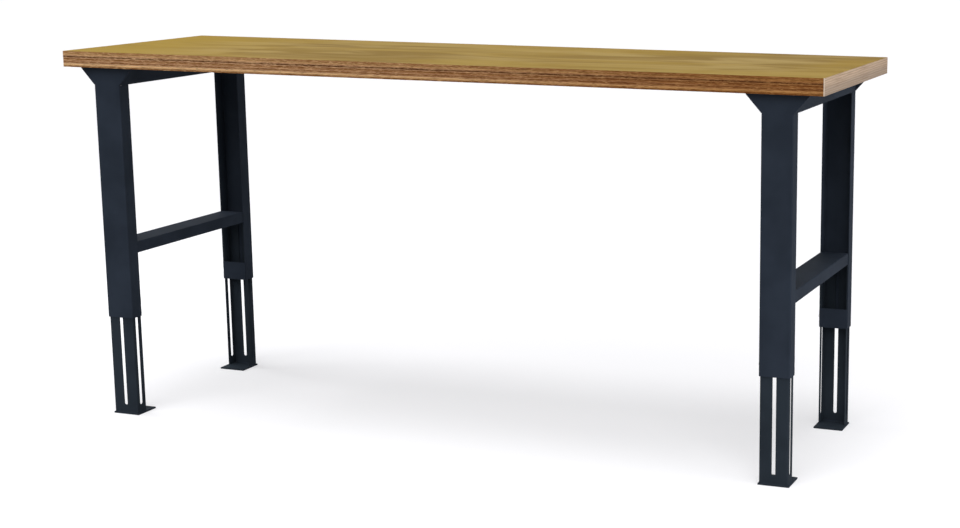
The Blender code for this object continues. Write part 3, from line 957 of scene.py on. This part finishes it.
def lap_beads(name, side):
    """The beads on one flange's edge, where the crossbar and the guide plate lap it."""
    lap = side * (BAR_HALF_WIDTH + LAP_BEAD_OUT)
    edge = LEG_DEPTH + HALF_GAP
    middle = (guide_low.z + guide_high.z) / 2
    spans = [
        (bar_low.z + LAP_BEAD_END, bar_high.z - LAP_BEAD_END, BAR_BEAD),
        (guide_low.z + LAP_BEAD_END, middle - GUIDE_BEAD_APART, GUIDE_BEAD),
        (middle + GUIDE_BEAD_APART, guide_high.z - LAP_BEAD_END, GUIDE_BEAD),
    ]
    for low, high, radius in spans:
        yield upright_bead(name, lap, edge, low, high, radius)


def frame_weld_paths(name):
    """The beads that join one upper leg to its rail, crossbar and guide plate."""
    seam = rail_low.z - HALF_GAP
    for side in (-1, 1):
        wall = side * LEG_HALF_WIDTH
        low, high = rail_low.z + RAIL_BEAD_LOW, rail_high.z - RAIL_BEAD_HIGH
        yield upright_bead(name, wall, SHEET, low, high, RAIL_BEAD)
        skin = wall - side * FLANGE_BEAD_SINK
        yield inboard_bead(name, skin, FLANGE_BEAD_NEAR, LEG_DEPTH - FLANGE_BEAD_FAR, seam, FLANGE_BEAD)
        corner = wall - side * CORNER_BEAD_INSET
        low, high = seam - CORNER_BEAD_BELOW, seam + CORNER_BEAD_ABOVE
        yield upright_bead(name, corner, SHEET, low, high, CORNER_BEAD)
        yield from lap_beads(name, side)
    yield web_bead(name, SHEET, rail_high.z - SHEET, WEB_BEAD)


def foot_weld_paths(name):
    """The beads that join a foot plate to its lower leg, clear of the upper leg's way."""
    for side in (-1, 1):
        wall = side * LOWER_LEG_HALF_WIDTH
        yield inboard_bead(name, wall, FOOT_BEAD_NEAR, FOOT_BEAD_FAR, FOOT_TOP, FOOT_BEAD)
    yield web_bead(name, LOWER_LEG_FACE + SHEET, FOOT_TOP, FOOT_BEAD)
    yield web_bead(name, LOWER_LEG_FACE, FOOT_TOP, FOOT_FACE_BEAD)


def add_camera():
    """The camera at the photograph's place and angle."""
    forward = Vector((
        math.sin(CAMERA_AZIMUTH) * math.cos(CAMERA_FALL),
        math.cos(CAMERA_AZIMUTH) * math.cos(CAMERA_FALL),
        -math.sin(CAMERA_FALL),
    ))
    level = Vector((math.cos(CAMERA_AZIMUTH), -math.sin(CAMERA_AZIMUTH), 0.0))
    upright = level.cross(forward)
    right = level * math.cos(CAMERA_ROLL) + upright * math.sin(CAMERA_ROLL)
    up = upright * math.cos(CAMERA_ROLL) - level * math.sin(CAMERA_ROLL)
    data = bpy.data.cameras.new("camera")
    data.sensor_width = SENSOR
    data.lens = FOCAL_PIXELS * SENSOR / IMAGE_WIDTH
    data.shift_x = (IMAGE_WIDTH / 2 - CENTRE_PIXELS[0]) / IMAGE_WIDTH
    data.shift_y = (CENTRE_PIXELS[1] - IMAGE_HEIGHT / 2) / IMAGE_WIDTH
    data.clip_end = 500.0
    camera = as_object("camera", data)
    turn = Matrix((right, up, -forward)).transposed()
    camera.matrix_world = Matrix.Translation(CAMERA_PLACE) @ turn.to_4x4()
    bpy.context.scene.camera = camera


def aimed(lamp, towards):
    """Turns a lamp so that it shines against a direction."""
    lamp.rotation_euler = Vector(towards).to_track_quat("Z", "Y").to_euler()


def add_sun(name, towards, level, spread):
    """Even light from one direction that gives a white upward face the level, with soft shadows."""
    data = bpy.data.lights.new(name, "SUN")
    data.energy = level * math.pi / Vector(towards).normalized().z
    data.angle = math.radians(spread)
    aimed(as_object(name, data), towards)


def add_lamp(name, place, aim, size, power):
    """A large soft lamp near the table."""
    data = bpy.data.lights.new(name, "AREA")
    data.shape = "SQUARE"
    data.size = size
    data.energy = power
    lamp = as_object(name, data)
    lamp.location = place
    aimed(lamp, Vector(place) - Vector(aim))


def seen_directly(graph):
    """1 for camera, glossy and transmission rays, and 0 for the rays that carry light."""
    path = graph.add("ShaderNodeLightPath")
    direct = graph.maths("MAXIMUM", path.out("Is Camera Ray"), path.out("Is Glossy Ray"))
    return graph.maths("MAXIMUM", direct, path.out("Is Transmission Ray"))


def add_world(level):
    """A white backdrop to the eye, and an even grey light on the object."""
    world = bpy.data.worlds.new("studio")
    world.use_nodes = True
    bpy.context.scene.world = world
    graph = Graph(world.node_tree)
    grey = graph.add("ShaderNodeBackground", {}, {"Color": (1.0, 1.0, 1.0, 1.0), "Strength": level})
    white = graph.add("ShaderNodeBackground", {}, {"Color": (1.0, 1.0, 1.0, 1.0), "Strength": 1.0})
    both = graph.add("ShaderNodeMixShader", {}, {0: seen_directly(graph), 1: grey, 2: white})
    graph.feed(world.node_tree.nodes["World Output"].inputs["Surface"], both)


def add_floor(glow, shade, bounce):
    """A plain pale floor that is white to the eye and keeps the table's soft shadow."""
    half = FLOOR_HALF
    shape = bmesh.new()
    corners = [(-half, -half), (half, -half), (half, half), (-half, half)]
    shape.faces.new([shape.verts.new((x, y, -FLOOR_DROP)) for x, y in corners])
    floor = mesh_object("floor", shape)
    material, graph, _ = surface("floor_white")
    pale = graph.add("ShaderNodeBsdfDiffuse", {}, {"Color": (bounce, bounce, bounce, 1.0)})
    shadowed = graph.add("ShaderNodeBsdfDiffuse", {}, {"Color": (shade, shade, shade * FLOOR_BLUE, 1.0)})
    glowing = {"Color": (glow, glow, glow * FLOOR_BLUE, 1.0), "Strength": 1.0}
    lit = graph.add("ShaderNodeEmission", {}, glowing)
    eye = graph.add("ShaderNodeAddShader", {}, {0: shadowed, 1: lit})
    both = graph.add("ShaderNodeMixShader", {}, {0: seen_directly(graph), 1: pale, 2: eye})
    backs = graph.add("ShaderNodeNewGeometry").out("Backfacing")
    clear = graph.add("ShaderNodeBsdfTransparent")
    shown = graph.add("ShaderNodeMixShader", {}, {0: backs, 1: both, 2: clear})
    graph.feed(material.node_tree.nodes["Material Output"].inputs["Surface"], shown)
    floor.data.materials.append(material)


def fastener_starts(nodes):
    """Where each fastener along X starts, on its own axis."""
    for node in nodes:
        low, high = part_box(node)
        yield low.x, (low.y + high.y) / 2, (low.z + high.z) / 2


def add_studio():
    """The camera, the backdrop, the floor and the soft lamps."""
    add_camera()
    bpy.context.scene.view_settings.view_transform = "Standard"
    add_world(level=0.16)
    add_floor(glow=0.50, shade=0.50, bounce=0.30)
    add_sun("overhead", towards=(0.05, -0.12, 1.0), level=0.49, spread=26.0)
    add_sun("front", towards=(0.10, -1.0, 0.95), level=0.38, spread=60.0)
    add_lamp("right_side", place=(3.4, -0.8, 0.8), aim=(0.9, 0.0, 0.6), size=1.6, power=29.0)
    add_lamp("left_side", place=(-3.0, 0.1, 1.4), aim=(-0.9, 0.1, 0.4), size=1.6, power=36.0)


def add_steel(frame_coat, leg_coat):
    """The coated steel pieces of the end frames and of the sliding legs."""
    for node in STEEL:
        coated_steel(node, leg_coat if SLOT_OF[node] == "leg_paint" else frame_coat)


def add_fasteners(zinc):
    """The clamp bolts with their washers and nuts, and the worktop screws."""
    tree = repeat_tree()
    for kind, shape in (("bolt", bolt_shape()), ("washer", washer_shape()), ("nut", nut_shape())):
        nodes = [f"clamp_{kind}_{leg}" for leg in LEGS]
        repeated(tree, f"clamp_{kind}s", shape, fastener_starts(nodes), nodes, zinc)
    repeated(tree, "worktop_screws", screw_shape(), screw_seats(), SCREWS, zinc)


def add_welds(coat):
    """The weld beads of the end frames and of each leg's foot."""
    tree = weld_tree()
    paths = [path for leg in LEGS for path in frame_weld_paths(leg)]
    weld_beads(tree, "frame_welds", paths, "table_frame", "frame_paint", coat)
    for leg in LEGS:
        weld_beads(tree, f"{leg}_foot_welds", foot_weld_paths(leg), f"{leg}_leg", "leg_paint", coat)


add_studio()
make_board(plywood())
add_steel(powder_coat("anthracite_powder_coat", FRAME_GREY, texture=0.35),
          powder_coat("anthracite_powder_coat_legs", LEG_GREY, texture=0.35))
add_fasteners(zinc_plate())
add_welds(powder_coat("anthracite_powder_coat_welds", BEAD_GREY, texture=0.50))
